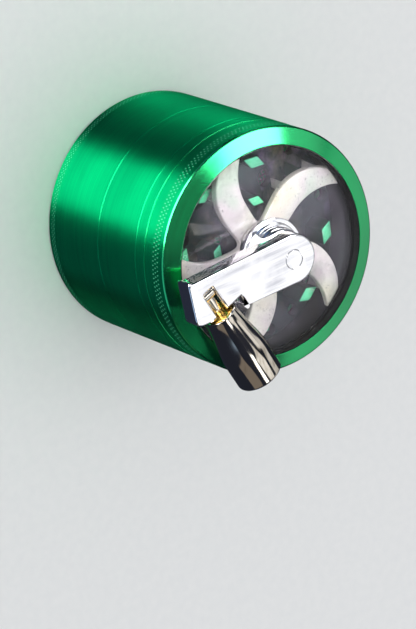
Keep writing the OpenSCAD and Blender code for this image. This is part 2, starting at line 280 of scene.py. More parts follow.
def lathe(
    profile: np.ndarray, closed: bool, columns: int = ROUND, ripple: Optional[Ripple] = None
) -> Shell:
    """Solid of revolution about +Z: (r cos a, r sin a, z).

    Args:
        profile: Points (r, z), anticlockwise with r to the right.
        closed: False where the profile starts and ends on the axis.
        columns: Steps round the axis.
        ripple: Height added to r as a function of a, r and z.

    Returns:
        The shell.
    """
    a = np.linspace(0, TURN, columns, endpoint=False)[None, :]
    r, z = profile[:, :1], profile[:, 1:]
    lift = 0 if ripple is None else ripple(a, r, z)
    r = r + lift
    grid = np.stack(np.broadcast_arrays(r * np.cos(a), r * np.sin(a), z), -1)
    return Shell().surface(grid, wrap_rows=closed)


def triangle_wave(phase: np.ndarray) -> np.ndarray:
    """0 at whole phases and 1 half way between them."""
    return 1 - 2 * np.abs(phase % 1 - 0.5)


@dataclass(frozen=True)
class Thread:
    """Single-start thread on a wall: depth times a triangle wave of a / 2 pi - z / pitch."""

    wall: float
    low: float
    high: float
    depth: float
    pitch: float = 1.25
    run_out: float = 0.7

    def __call__(self, a: np.ndarray, r: np.ndarray, z: np.ndarray) -> np.ndarray:
        """Height of the thread, faded over its run-out at both ends and zero off its wall."""
        fade = np.clip((z - self.low) / self.run_out, 0, 1)
        fade = fade * np.clip((self.high - z) / self.run_out, 0, 1)
        on_wall = np.abs(r - self.wall) < 0.03
        return self.depth * triangle_wave(a / TURN - z / self.pitch) * fade * on_wall


@dataclass(frozen=True)
class Knurl:
    """Band of diamond knurling between two heights on a round wall."""

    radius: float
    low: float
    high: float
    lean: float
    ridges: int = 176
    depth: float = 0.06
    plain: tuple[float, float] = (0.0, 0.0)
    root: float = 0.6
    samples: int = 6

    def shell(self) -> Shell:
        """Closed ring whose outer face carries the knurl.

        With n ridges round the wall and u = n a / 2 pi, the two families of grooves are where
        u + k z and u - k z are whole, and k = n tan(lean) / 2 pi r. The wall rises by the smaller
        of their two triangle waves, so the ridges meet in points, and stays plain by the band's
        two edges where plain says so. Rows stand a sample of a ridge apart, so that grooves and
        points fall on vertices.
        """
        k = self.ridges * math.tan(math.radians(self.lean)) / (TURN * self.radius)
        rows = int(round((self.high - self.low) * k * self.samples))
        z = np.linspace(self.low, self.high, rows + 1)[:, None]
        a = np.linspace(0, TURN, self.ridges * self.samples, endpoint=False)[None, :]
        u, lift = self.ridges * a / TURN, (z - self.low) * k
        height = np.minimum(triangle_wave(u + lift), triangle_wave(u - lift))
        start, end = self.low + self.plain[0], self.high - self.plain[1]
        fade = np.clip(np.minimum(z - start, end - z) / 0.3, 0, 1)
        r = self.radius - self.depth * (1 - height * fade)
        inner = np.full_like(a, self.radius - self.root)
        r = np.concatenate([inner, r, inner])
        z = np.concatenate([z[:1], z, z[-1:]])
        grid = np.stack(np.broadcast_arrays(r * np.cos(a), r * np.sin(a), z), -1)
        return Shell().surface(grid, wrap_rows=True)


@dataclass(frozen=True)
class Plate:
    """Flat piece between two heights, with eased edges and with holes.

    Material lies on the left of every loop: the outside runs anticlockwise and holes clockwise.
    """

    loops: tuple[np.ndarray, ...]
    low: float
    high: float
    top_ease: float = 0.3
    bottom_ease: float = 0.1
    steps: int = 4

    def rows(self) -> np.ndarray:
        """(inset, height) of each row: a quarter circle, e (1 - cos) and e (1 - sin), at each end.

        The foot's rows come first, then the top's.
        """
        a = np.linspace(0, np.pi / 2, self.steps)
        top = [self.top_ease * (1 - np.cos(a)), self.high - self.top_ease * (1 - np.sin(a))]
        foot = [self.bottom_ease * (1 - np.cos(a)), self.low + self.bottom_ease * (1 - np.sin(a))]
        return np.concatenate([np.stack(foot, 1)[::-1], np.stack(top, 1)])

    def add_to(self, shell: Shell) -> Shell:
        """Adds the plate's walls and its two faces to a shell."""
        rows = self.rows()
        points, faces, feet, heads, start = [], [], [], [], 0
        for loop in self.loops:
            n = len(loop)
            ring = [np.c_[inset(loop, d), np.full(n, z)] for d, z in rows]
            points.append(np.concatenate(ring))
            faces.append(grid_faces(len(rows), n, False, True) + start)
            feet.append(start + np.arange(n))
            heads.append(start + (len(rows) - 1) * n + np.arange(n))
            start += len(rows) * n
        points = np.concatenate(points)
        shell.add(points, np.concatenate(faces))
        shell.count -= start
        for ends, wanted in ((feet, -1), (heads, 1)):
            index = np.concatenate(ends)
            corners = [[Vector(points[i]) for i in end] for end in ends]
            found = np.array([t for t in tessellate_polygon(corners) if len(set(t)) == 3])
            triangles = index[found]
            p, q, r = (points[triangles[:, i], :2] for i in range(3))
            area = np.cross(q - p, r - p)
            flipped = np.where(area[:, None] * wanted < 0, triangles[:, ::-1], triangles)
            shell.faces.extend((flipped + shell.count).tolist())
        shell.count += start
        return shell

    def shell(self) -> Shell:
        """The plate on its own."""
        return self.add_to(Shell())


@dataclass(frozen=True)
class Span:
    """Outer radius and height range of a turned CAD node, in millimetres."""

    radius: float
    low: float
    high: float

    @classmethod
    def of(cls, node: str) -> "Span":
        """Measures a CAD node in the frame."""
        lo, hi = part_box(node)
        return cls(round(max(hi.x, -lo.x) / MM, 3), round(lo.z / MM, 3), round(hi.z / MM, 3))


# ---------------------------------------------------------------------------------------------
# Shader kit
# ---------------------------------------------------------------------------------------------


def tone(red: float, green: float, blue: float) -> tuple[float, float, float, float]:
    """Linear colour of a display colour in 0 to 255."""
    c = np.array([red, green, blue]) / 255
    linear = np.where(c <= 0.04045, c / 12.92, ((c + 0.055) / 1.055) ** 2.4)
    return (*(float(x) for x in linear), 1.0)


class Value:
    """A shader socket that carries a number; an expression on it adds its Math nodes."""

    def __init__(self, recipe: "Recipe", socket: bpy.types.NodeSocket) -> None:
        """Wraps a socket of a recipe's tree."""
        self.recipe, self.socket = recipe, socket

    def __add__(self, other: "Number") -> "Value":
        """self + other."""
        return self.recipe.maths("ADD", self, other)

    __radd__ = __add__

    def __sub__(self, other: "Number") -> "Value":
        """self - other."""
        return self.recipe.maths("SUBTRACT", self, other)

    def __rsub__(self, other: "Number") -> "Value":
        """other - self."""
        return self.recipe.maths("SUBTRACT", other, self)

    def __mul__(self, other: "Number") -> "Value":
        """self * other."""
        return self.recipe.maths("MULTIPLY", self, other)

    __rmul__ = __mul__

    def __pow__(self, other: "Number") -> "Value":
        """self to a power."""
        return self.recipe.maths("POWER", self, other)


Number = Union[Value, float]


class Recipe:
    """Node tree of one finish."""

    def __init__(self, name: str) -> None:
        """Starts a material with a Principled shader and nothing else."""
        self.material = bpy.data.materials.new(name)
        self.material.use_nodes = True
        self.tree = self.material.node_tree
        self.tree.nodes.clear()
        self.output = self.node("ShaderNodeOutputMaterial")
        self.shader = self.node("ShaderNodeBsdfPrincipled")
        self.join(self.output.inputs["Surface"], self.shader.outputs["BSDF"])
        self.object_space = self.node("ShaderNodeTexCoord").outputs["Object"]

    def join(self, socket: bpy.types.NodeSocket, value: Any) -> None:
        """Links a socket or value to an input, or sets the input's own number or colour."""
        if isinstance(value, Value):
            value = value.socket
        if isinstance(value, bpy.types.NodeSocket):
            self.tree.links.new(value, socket)
        else:
            socket.default_value = value

    def node(
        self,
        kind: str,
        settings: Optional[dict[str, Any]] = None,
        sockets: Optional[dict[Union[str, int], Any]] = None,
    ) -> bpy.types.Node:
        """Adds a node.

        Args:
            kind: The node's type.
            settings: Its settings, set first; "stops" holds a ramp's (place, colour) pairs.
            sockets: Values or links of its inputs, by name or number.

        Returns:
            The node.
        """
        made = self.tree.nodes.new(kind)
        for name, value in (settings or {}).items():
            if name != "stops":
                setattr(made, name, value)
                continue
            ramp = made.color_ramp.elements
            while len(ramp) < len(value):
                ramp.new(1.0)
            for element, (place, colour) in zip(ramp, value):
                element.position, element.color = place, colour
        for name, value in (sockets or {}).items():
            self.join(made.inputs[name], value)
        return made

    def maths(self, operation: str, *operands: Number) -> Value:
        """A Math node on numbers and values."""
        made = self.node(
            "ShaderNodeMath", {"operation": operation}, dict(enumerate(operands))
        )
        return Value(self, made.outputs[0])

    def blend(self, share: Number, a: Any, b: Any) -> bpy.types.NodeSocket:
        """Colour a at share 0 and b at share 1."""
        made = self.node(
            "ShaderNodeMix", {"data_type": "RGBA"}, {0: share, 6: a, 7: b}
        )
        return made.outputs[2]

    def ease(self, value: Number, low: float, high: float) -> Value:
        """0 at low and 1 at high, smooth between and flat beyond."""
        made = self.node(
            "ShaderNodeMapRange",
            {"interpolation_type": "SMOOTHSTEP"},
            {"Value": value, "From Min": low, "From Max": high},
        )
        return Value(self, made.outputs["Result"])

    def noise(
        self,
        scale: float,
        stretch: Colour = (1.0, 1.0, 1.0),
        detail: float = 3.0,
        vector: Any = None,
        rough: float = 0.5,
    ) -> Value:
        """Noise from 0 to 1 in object space, or on a given vector, stretched along the axes."""
        mapped = self.node(
            "ShaderNodeMapping",
            None,
            {"Vector": self.object_space if vector is None else vector, "Scale": stretch},
        )
        made = self.node(
            "ShaderNodeTexNoise",
            None,
            {
                "Vector": mapped.outputs[0],
                "Scale": scale,
                "Detail": detail,
                "Roughness": rough,
            },
        )
        return Value(self, made.outputs["Fac"])

    def axes(self) -> tuple[Value, Value, Value]:
        """x, y and z of object space."""
        parts = self.node("ShaderNodeSeparateXYZ", None, {0: self.object_space})
        return tuple(Value(self, parts.outputs[i]) for i in range(3))

    def radius(self) -> Value:
        """Distance from +Z."""
        x, y, _ = self.axes()
        return (x * x + y * y) ** 0.5

    def rings(self, fine: float, coarse: float = 30.0) -> Value:
        """Turning lines about +Z: noise, fine over (radius, height) and slow along the turn."""
        x, y, z = self.axes()
        radius = self.radius()
        vector = self.node(
            "ShaderNodeCombineXYZ", None, {0: radius * fine, 1: z * fine, 2: (x + y * 0.7) * coarse}
        )
        return self.noise(1.0, detail=4.0, vector=vector.outputs[0], rough=0.6)

    def bump(self, height: Number, strength: float, distance: float) -> bpy.types.NodeSocket:
        """Normal of a height; strength and distance in metres are numbers."""
        made = self.node(
            "ShaderNodeBump", None, {"Strength": strength, "Distance": distance, "Height": height}
        )
        return made.outputs["Normal"]

    def done(self, **sockets: Any) -> bpy.types.Material:
        """Sets the shader's sockets, with _ for a space, and returns the material."""
        for name, value in sockets.items():
            self.join(self.shader.inputs[name.replace("_", " ")], value)
        return self.material


# ---------------------------------------------------------------------------------------------
# Finishes
# ---------------------------------------------------------------------------------------------


@dataclass(frozen=True)
class Anodised:
    """Green dyed aluminium with fine turning lines about the body's axis, with painted shade inside
    a radius and painted glints on knurl crests where asked.
    """

    name: str
    light: Colour = (4, 204, 122)
    deep: Colour = (2, 168, 104)
    roughness: float = 0.4
    anisotropy: float = 1.0
    line_depth: float = 3e-6
    coat: float = 0.1
    # Radius inside which the wall is painted near black, matte and uncoated as painted shade; 0 for
    # none.
    painted_shade_inside: float = 0.0
    # Radius range over which the knurl's crests turn pale green and partly matte: painted glints.
    glint_crest: tuple[float, float] = (0.0, 0.0)

    def material(self) -> bpy.types.Material:
        """Metal whose highlights stretch across the turning lines."""
        r = Recipe(self.name)
        lines = r.rings(9000.0)
        clouds = r.noise(45.0, detail=3.0)
        mottle = r.ease(lines * 0.6 + clouds * 0.4, 0.3, 0.7)
        colour = r.blend(mottle, tone(*self.deep), tone(*self.light))
        radius = r.radius()
        metal, coat = 1.0, self.coat
        # Painted highlight: the knurl's crests turn pale green and partly matte, standing for
        # glints on the knurl's points.
        if self.glint_crest[1]:
            height = r.ease(radius, *(c * MM for c in self.glint_crest))
            colour, metal = r.blend(height, colour, tone(104, 232, 178)), 1 - height * 0.6
        # Painted shade: inside the radius the colour turns near black, the metal matte and the coat
        # gone, standing for the shade on the inner walls of the chamber and of the lid's lip.
        if self.painted_shade_inside:
            inside = 1 - r.ease(radius, (self.painted_shade_inside - 0.04) * MM, self.painted_shade_inside * MM)
            painted_shade = r.blend(clouds, tone(4, 5, 5), tone(24, 27, 27))
            colour, metal = r.blend(inside, colour, painted_shade), 1 - inside * 0.95
            coat = (1 - inside) * self.coat
        return r.done(
            Base_Color=colour,
            Metallic=metal,
            Roughness=self.roughness + (lines - 0.5) * 0.16 + (clouds - 0.5) * 0.08,
            Anisotropic=self.anisotropy,
            Anisotropic_Rotation=0.25,
            Specular_IOR_Level=0.12,
            Coat_Weight=coat,
            Coat_Roughness=0.12,
            Normal=r.bump(lines, 0.5, self.line_depth),
        )


@dataclass(frozen=True)
class ToothGreen:
    """Lighter green of the teeth, worn to bare metal in places and dusted."""

    name: str = "tooth_green"
    top: float = 46.9

    def material(self) -> bpy.types.Material:
        """Lighter tops with scratches and grey dust; dark green sides below the top."""
        r = Recipe(self.name)
        scratch = r.noise(2600.0, (1.0, 0.18, 1.0), detail=2.0)
        wear = r.ease(r.noise(420.0, detail=4.0), 0.56, 0.7)
        green = r.blend(scratch, tone(50, 176, 120), tone(120, 226, 178))
        # Only the top 0.25 mm takes the lighter green; the sides below it are dark green.
        top = r.ease(r.axes()[2], self.top * MM - 0.25 * MM, self.top * MM)
        worn = r.blend(wear * 0.6, green, tone(206, 222, 212))
        return r.done(
            Base_Color=r.blend(top, tone(10, 70, 54), worn),
            Metallic=0.75,
            Roughness=0.38 + scratch * 0.2,
            Normal=r.bump(scratch, 0.3, 4e-6),
        )


@dataclass(frozen=True)
class DustyFloor:
    """Grinding floor: green metal under grey dust that gathers in clouds."""

    name: str = "dusty_floor"

    def material(self) -> bpy.types.Material:
        """Dust covers most of the metal."""
        r = Recipe(self.name)
        clouds = r.noise(110.0, detail=6.0, rough=0.65)
        grain = r.noise(1500.0, detail=3.0)
        dust = r.ease(clouds * 0.7 + grain * 0.3, 0.36, 0.66)
        stain = r.ease(r.noise(90.0, detail=4.0), 0.42, 0.6)
        pale = r.blend(stain, tone(110, 96, 120), tone(108, 106, 84))
        grey = r.blend(r.ease(clouds, 0.44, 0.6) * (grain * 0.5 + 0.6), tone(5, 5, 9), pale)
        return r.done(
            Base_Color=r.blend(dust, tone(12, 50, 44), grey),
            Metallic=0.3 - dust * 0.25,
            Roughness=0.42 + dust * 0.35,
            Specular_IOR_Level=0.12,
            Normal=r.bump(grain, 0.6, 3e-5),
        )


@dataclass(frozen=True)
class Chrome:
    """Bright plated metal with faint brushed streaks along one direction."""

    name: str
    light: Colour = (248, 248, 250)
    shade: Colour = (206, 207, 214)
    roughness: float = 0.08
    streak: float = 0.04
    stretch: Colour = (1.0, 0.06, 1.0)

    def material(self) -> bpy.types.Material:
        """Streaks change the tint, the gloss and the surface a little."""
        r = Recipe(self.name)
        lines = r.noise(700.0, self.stretch, detail=3.0)
        haze = r.noise(60.0, detail=2.0)
        worn = r.ease(lines, 0.42, 0.7) * r.ease(r.noise(90.0, detail=3.0), 0.44, 0.62)
        return r.done(
            Base_Color=r.blend(worn, tone(*self.light), tone(*self.shade)),
            Metallic=1.0,
            Roughness=self.roughness + (lines - 0.5) * self.streak + (haze - 0.5) * 0.05,
            Normal=r.bump(lines, 0.12, 2e-6),
        )


@dataclass(frozen=True)
class Brass:
    """Turned brass, warm and slightly dull in its grooves."""

    name: str = "turned_brass"

    def material(self) -> bpy.types.Material:
        """Warm metal with fine grain."""
        r = Recipe(self.name)
        grain = r.noise(1800.0, detail=4.0)
        return r.done(
            Base_Color=r.blend(grain, tone(196, 150, 62), tone(236, 198, 108)),
            Metallic=1.0,
            Roughness=0.2 + grain * 0.16,
            Normal=r.bump(grain, 0.3, 4e-6),
        )


@dataclass(frozen=True)
class RotorMetal:
    """Off-white tumbled aluminium with small dark specks and soft stains."""

    name: str = "rotor_metal"

    def material(self) -> bpy.types.Material:
        """Matte metal, pitted where the specks are."""
        r = Recipe(self.name)
        stain = r.ease(r.noise(130.0, detail=5.0, rough=0.6), 0.52, 0.74)
        grain = r.noise(2200.0, detail=3.0)
        pits = r.ease(r.noise(1500.0, detail=5.0, rough=0.7), 0.57, 0.64)
        pits = pits * r.ease(r.noise(240.0), 0.44, 0.56)
        pale = r.blend(grain, tone(198, 194, 180), tone(220, 217, 204))
        worn = r.blend(stain * 0.5, pale, tone(140, 136, 125))
        return r.done(
            Base_Color=r.blend(pits * 0.8, worn, tone(84, 82, 78)),
            Metallic=0.35,
            Roughness=0.46 + grain * 0.14 + stain * 0.1,
            Normal=r.bump(grain - pits * 1.4, 0.35, 1.5e-5),
        )


@dataclass(frozen=True)
class Steel:
    """Plain turned or drawn steel."""

    name: str
    light: Colour = (206, 206, 204)
    shade: Colour = (158, 158, 156)
    roughness: float = 0.26

    def material(self) -> bpy.types.Material:
        """Fine turning lines about +Z."""
        r = Recipe(self.name)
        lines = r.rings(7000.0)
        return r.done(
            Base_Color=r.blend(lines, tone(*self.shade), tone(*self.light)),
            Metallic=1.0,
            Roughness=self.roughness + (lines - 0.5) * 0.2,
            Normal=r.bump(lines, 0.3, 3e-6),
        )


@dataclass(frozen=True)
class Moulded:
    """Moulded plastic or rubber with a fine matte texture."""

    name: str
    light: Colour
    shade: Colour
    roughness: float = 0.5
    sheen: float = 0.4

    def material(self) -> bpy.types.Material:
        """Soft mottling and a fine pebbled surface."""
        r = Recipe(self.name)
        mottle = r.noise(300.0, detail=4.0)
        pebble = r.noise(3500.0, detail=2.0)
        return r.done(
            Base_Color=r.blend(mottle, tone(*self.shade), tone(*self.light)),
            Roughness=self.roughness + (pebble - 0.5) * 0.2,
            Specular_IOR_Level=self.sheen,
            Normal=r.bump(pebble, 0.3, 8e-6),
        )


@dataclass(frozen=True)
class ClearAcrylic:
    """Clear window with faint stress colours and a film of dust; lamps shine through it."""

    name: str = "clear_acrylic"
    film_full: float = 23.6
    film_end: float = 24.8

    def material(self) -> bpy.types.Material:
        """Refracting plastic that is transparent to lamps' rays."""
        r = Recipe(self.name)
        hue = r.noise(70.0, detail=2.0)
        tint = r.node(
            "ShaderNodeValToRGB",
            {
                "stops": [
                    (0.3, tone(255, 248, 226)),
                    (0.44, tone(250, 252, 255)),
                    (0.55, tone(247, 240, 255)),
                    (0.68, tone(230, 252, 242)),
                ]
            },
            {0: hue},
        )
        r.done(
            Base_Color=tint.outputs[0],
            Transmission_Weight=1.0,
            IOR=1.49,
            Specular_Tint=(0.15, 0.15, 0.15, 1.0),
            Roughness=0.02 + 0.03 * r.ease(r.noise(35.0), 0.5, 0.8),
        )
        middle = 1 - r.ease(r.radius(), self.film_full * MM, self.film_end * MM)
        film = r.ease(r.noise(70.0, detail=5.0, rough=0.6), 0.4, 0.66) * 0.07 + 0.02
        dust = r.node("ShaderNodeBsdfDiffuse", None, {0: tone(196, 190, 204)})
        dusty = r.node(
            "ShaderNodeMixShader",
            None,
            {0: film * middle, 1: r.shader.outputs[0], 2: dust.outputs[0]},
        )
        through = r.node("ShaderNodeBsdfTransparent", None, {0: (0.94, 0.94, 0.94, 1.0)})
        lamp = r.node("ShaderNodeLightPath").outputs["Is Shadow Ray"]
        both = r.node(
            "ShaderNodeMixShader", None, {0: lamp, 1: dusty.outputs[0], 2: through.outputs[0]}
        )
        r.join(r.output.inputs["Surface"], both.outputs[0])
        return r.material


@dataclass(frozen=True)
class StudioFloor:
    """Plain pale floor with a barely visible grain."""

    name: str = "studio_floor"

    def material(self) -> bpy.types.Material:
        """Matte, near white."""
        r = Recipe(self.name)
        grain = r.noise(400.0, detail=2.0)
        return r.done(
            Base_Color=r.blend(grain, tone(222, 223, 224), tone(230, 230, 230)), Roughness=0.6
        )


@dataclass(frozen=True)
class GlowingBackdrop:
    """Evenly lit paper backdrop."""

    name: str = "studio_backdrop"
    strength: float = 0.7

    def material(self) -> bpy.types.Material:
        """Plain light."""
        r = Recipe(self.name)
        return r.done(
            Base_Color=(0.0, 0.0, 0.0, 1.0),
            Specular_IOR_Level=0.0,
            Emission_Color=(0.97, 0.985, 1.0, 1.0),
            Emission_Strength=self.strength,
        )


class Finishes:
    """Every finish, made once and shared."""

    def __init__(self) -> None:
        """Makes the materials."""
        self.wall = Anodised("green_wall").material()
        # The chamber's inner wall gets painted shade inside 27.4 mm.
        self.rim = Anodised("green_rim", painted_shade_inside=27.4).material()
        # The lid's lip and seat get painted shade inside 27.0 mm.
        self.bevel = Anodised(
            "green_bevel", (42, 204, 120), (36, 176, 104), 0.2, 0.6, coat=0.42, painted_shade_inside=27.0
        ).material()
        # Knurl crests get painted glints.
        self.knurl = Anodised("green_knurl", glint_crest=(31.469, 31.485)).material()
        self.tooth = ToothGreen().material()
        self.dust = DustyFloor().material()
        self.arm = Chrome("arm_chrome").material()
        self.hub = Chrome("hub_chrome", stretch=(1.0, 1.0, 0.1), roughness=0.12).material()
        self.nickel = Chrome(
            "dark_nickel", (214, 206, 192), (178, 169, 154), 0.09, 0.04, (0.3, 1.0, 1.0)
        ).material()
        self.rod = Chrome("rod_nickel", (214, 208, 196), (182, 174, 158), 0.14).material()
        self.brass = Brass().material()
        self.rotor = RotorMetal().material()
        self.steel = Steel("turned_steel").material()
        self.wire = Steel("steel_wire", (196, 196, 192), (140, 140, 138), 0.3).material()
        self.nylon = Moulded("nylon", (232, 231, 222), (214, 212, 200), 0.42).material()
        self.rubber = Moulded("black_rubber", (14, 14, 15), (7, 7, 8), 0.6, 0.08).material()
        self.window = ClearAcrylic().material()
        self.floor = StudioFloor().material()
        self.dome = GlowingBackdrop().material()


# ---------------------------------------------------------------------------------------------
# Sub-assemblies
# ---------------------------------------------------------------------------------------------


def dress(
    piece: bpy.types.Object,
    body: Body,
    slot: Slot,
    finish: bpy.types.Material,
    *stands_for: str,
) -> bpy.types.Object:
    """Gives a new piece its finish and body, and hides the CAD nodes that it stands for."""
    piece.data.materials.append(finish)
    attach(piece, body.value)
    if stands_for:
        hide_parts(*stands_for)
    LOG.info("%s: %d faces on %s", piece.name, len(piece.data.polygons), body.value)
    return piece


def carry(node: str, finish: bpy.types.Material) -> None:
    """Gives a CAD node that stays visible its finish."""
    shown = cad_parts[node]
    if not shown.material_slots:
        shown.data.materials.append(finish)
    for held in shown.material_slots:
        held.material = finish
    LOG.info("%s: kept from the frame", node)


@dataclass
class Cup:
    """Bottom cup with its knurled foot band."""

    span: Span
    foot_top: float = 3.6
    wall_in: float = 28.2
    skirt: float = 29.3
    skirt_depth: float = 5.2
    floor: float = 2.5
    corner: float = 5.0
    recess: float = 0.3

    def profile(self) -> np.ndarray:
        """(r, z) from the underside's middle round the outside and back to the inside's middle."""
        s, edge = self.span, 0.3
        r, top, joint = s.radius, s.high, JOINT_CUT
        corners = [
            (0, 0), (r - edge, 0), (r, edge), (r - self.recess, edge + 0.05),
            (r - self.recess, self.foot_top), (r, self.foot_top + 0.12), (r, top - joint),
            (r - joint, top), (self.skirt, top), (self.skirt, top - self.skirt_depth),
            (self.wall_in, top - self.skirt_depth), (self.wall_in, self.floor), (0, self.floor),
        ]
        cuts = [0, 0.08, 0.08, 0, 0, 0.05, 0.1, 0.1, 0.25, 0.05, 0.2, self.corner, 0]
        return dense(eased(corners, cuts), CUP_STEP)

    def build(self, finishes: Finishes) -> None:
        """Makes the cup and its foot knurl."""
        s = self.span
        thread = Thread(self.skirt, s.high - self.skirt_depth, s.high - 0.3, THREAD_DEPTH)
        shell = lathe(self.profile(), False, ripple=thread)
        dress(shell.build("cup_shell"), Body.CUP, Slot.GREEN, finishes.wall, "base_cup")
        band = Knurl(s.radius, 0.4, self.foot_top, 45.0, plain=(0.4, 0.3)).shell()
        dress(band.build("cup_foot_knurl", 20), Body.CUP, Slot.GREEN, finishes.knurl)


@dataclass
class WovenCloth:
    """Plain-woven wire disc: warp and weft pass over and under each other."""

    radius: float
    low: float
    high: float
    pitch: float = 0.8
    sides: int = 5
    per_cross: int = 4

    def wires(self, across: bool) -> Shell:
        """Wires of one direction.

        A wire at y runs x from -h to h, h = sqrt(R^2 - y^2), and rides at c cos(pi x / p) with
        a sign that changes from wire to wire. Its section is a circle that closes at both ends.
        """
        middle, gauge = (self.low + self.high) / 2, (self.high - self.low) / 4
        n = int(self.radius / self.pitch)
        y = (np.arange(-n, n) + 0.5) * self.pitch
        half = np.sqrt(self.radius**2 - y**2)
        t = np.linspace(-1, 1, 2 * n * self.per_cross)
        x = half[:, None] * t
        sign = np.where(np.arange(len(y)) % 2 == 0, 1, -1)[:, None] * (1 if across else -1)
        z = middle + sign * gauge * np.cos(np.pi * x / self.pitch)
        close = np.ones_like(t)
        close[[0, -1]] = 0
        a = np.linspace(0, TURN, self.sides, endpoint=False)
        side = gauge * close[None, :, None] * np.cos(a)
        rise = gauge * close[None, :, None] * np.sin(a)
        parts = [x[:, :, None] + 0 * side, y[:, None, None] + side, z[:, :, None] + rise]
        if across:
            parts = [parts[1], -parts[0], parts[2]]
        grid = np.stack(np.broadcast_arrays(*parts), -1)
        base = grid_faces(len(t), self.sides, False, True)
        starts = np.arange(len(y))[:, None, None] * (len(t) * self.sides)
        return Shell().add(grid, (base[None, :, ::-1] + starts).reshape(-1, 4))


@dataclass
class SieveSection:
    """Storage chamber with its woven sieve and the ring that holds it."""

    span: Span
    joint: float
    bore: float = 27.2
    ledge: float = 26.0
    store: float = 28.2
    skirt: float = 29.3
    spigot: float = 29.1
    skirt_depth: float = 5.2

    def profile(self) -> np.ndarray:
        """(r, z) of the wall, anticlockwise."""
        s, edge, joint = self.span, JOINT_CUT, self.joint
        r, seat = s.radius, s.low + 1.8
        corners = [
            (self.bore, s.low), (self.spigot, s.low), (self.spigot, joint), (r - edge, joint),
            (r, joint + edge), (r, s.high - edge), (r - edge, s.high), (self.skirt, s.high),
            (self.skirt, s.high - self.skirt_depth), (self.store, s.high - self.skirt_depth),
            (self.store, joint + 2.1), (self.bore, joint + 1.2), (self.bore, seat + 1.2),
            (self.ledge, seat + 1.2), (self.ledge, seat), (self.bore, seat),
        ]
        cuts = [0.2, 0.3, 0, 0.1, 0.1, 0.1, 0.1, 0.25, 0.05, 0.2, 0.6, 0.4, 0.1, 0.15, 0.1, 0.0]
        return ring_profile(corners, cuts)

    def build(self, finishes: Finishes) -> None:
        """Makes the wall and the cloth, and dresses the pressed ring."""
        s = self.span
        male = Thread(self.spigot, s.low, self.joint - 0.2, -THREAD_DEPTH)
        female = Thread(self.skirt, s.high - self.skirt_depth, s.high - 0.3, THREAD_DEPTH)
        wall = lathe(self.profile(), True, ripple=lambda a, r, z: male(a, r, z) + female(a, r, z))
        dress(wall.build("sieve_wall"), Body.SIEVE, Slot.GREEN, finishes.wall, "sieve_chamber")
        screen = Span.of("sieve_screen")
        cloth = WovenCloth(screen.radius, screen.low, screen.high)
        warp = cloth.wires(False).build("sieve_warp", 180)
        dress(warp, Body.SIEVE, Slot.CLOTH, finishes.wire, "sieve_screen")
        weft = cloth.wires(True).build("sieve_weft", 180)
        dress(weft, Body.SIEVE, Slot.CLOTH, finishes.wire)
        carry("sieve_ring", finishes.steel)


@dataclass(frozen=True)
class Diamond:
    """Diamond tooth that leans off the radius."""

    length: float
    width: float
    tilt: float = -16.0
    skew: float = 0.14

    def outline(self, radius: float, turn: float) -> np.ndarray:
        """Four corners with eased points, at a radius and a turn about the axis."""
        l, w, k = self.length / 2, self.width / 2, self.skew * self.width
        corners = turned_by(np.array([(0, -l), (w, -k), (0, l), (-w, k)]), self.tilt)
        return turned_by(eased(corners, 0.35, 4) + (radius, 0), turn)


@dataclass
class MillSection:
    """Grinding chamber: rim and spigots, drilled floor, two rings of diamond teeth, glide ring."""

    span: Span
    rim_low: float
    rim_high: float
    bore: float = 27.2
    spigot: float = 29.1
    floor_top: float = 40.0
    floor_t: float = 2.5
    tooth_top: float = 46.9
    first_turn: float = 33.0
    outer_ring: float = 21.2
    inner_ring: float = 11.8

    def profile(self) -> np.ndarray:
        """(r, z) of the chamber's wall, anticlockwise."""
        s, edge, low, high = self.span, JOINT_CUT, self.rim_low, self.rim_high
        r = s.radius
        corners = [
            (self.bore, s.low), (self.spigot, s.low), (self.spigot, low), (r - edge, low),
            (r, low + edge), (r, high - edge), (r - edge, high), (self.spigot, high),
            (self.spigot, s.high), (self.bore, s.high),
        ]
        return ring_profile(corners, [0.2, 0.3, 0, 0.1, 0.1, 0.1, 0.1, 0, 0.15, 0.25])

    def holes(self) -> list[np.ndarray]:
        """Clockwise circles of the drop holes: rings of n at a radius, a turn and a diameter."""
        rings = ((10, 16.5, 0.0, 4.0), (20, 25.28, 9.0, 2.88), (5, 6.5, 0.0, 3.2))
        found = []
        for n, radius, turn, size in rings:
            for centre in polar(radius, self.first_turn + turn + np.arange(n) * 360 / n):
                found.append(ring_points(centre, size / 2, 28, True))
        return found

    def teeth(self) -> Shell:
        """The two rings of fixed teeth, as eased prisms."""
        shell = Shell()
        rings = (
            (8, self.outer_ring, self.first_turn, Diamond(6.4, 3.2)),
            (4, self.inner_ring, self.first_turn + 45, Diamond(5.12, 2.72)),
        )
        for n, radius, turn, tooth in rings:
            for k in range(n):
                loop = tooth.outline(radius, turn + k * 360 / n)
                Plate((loop,), self.floor_top - 0.05, self.tooth_top, 0.22, 0.02).add_to(shell)
        return shell

    def build(self, finishes: Finishes) -> None:
        """Makes the wall, floor and teeth, and dresses the glide ring."""
        s = self.span
        male = Thread(self.spigot, s.low, self.rim_low - 0.2, -THREAD_DEPTH)
        wall = lathe(self.profile(), True, ripple=male)
        dress(wall.build("mill_wall"), Body.MILL, Slot.GREEN, finishes.rim, "grinding_chamber")
        rim = ring_points(np.zeros(2), self.bore + 0.02, 192, False)
        underside = self.floor_top - self.floor_t
        floor = Plate((rim, *self.holes()), underside, self.floor_top, 0.15, 0.15)
        dress(floor.shell().build("mill_floor"), Body.MILL, Slot.GREEN, finishes.dust)
        dress(self.teeth().build("mill_teeth"), Body.MILL, Slot.GREEN, finishes.tooth)
        carry("glide_ring", finishes.nylon)


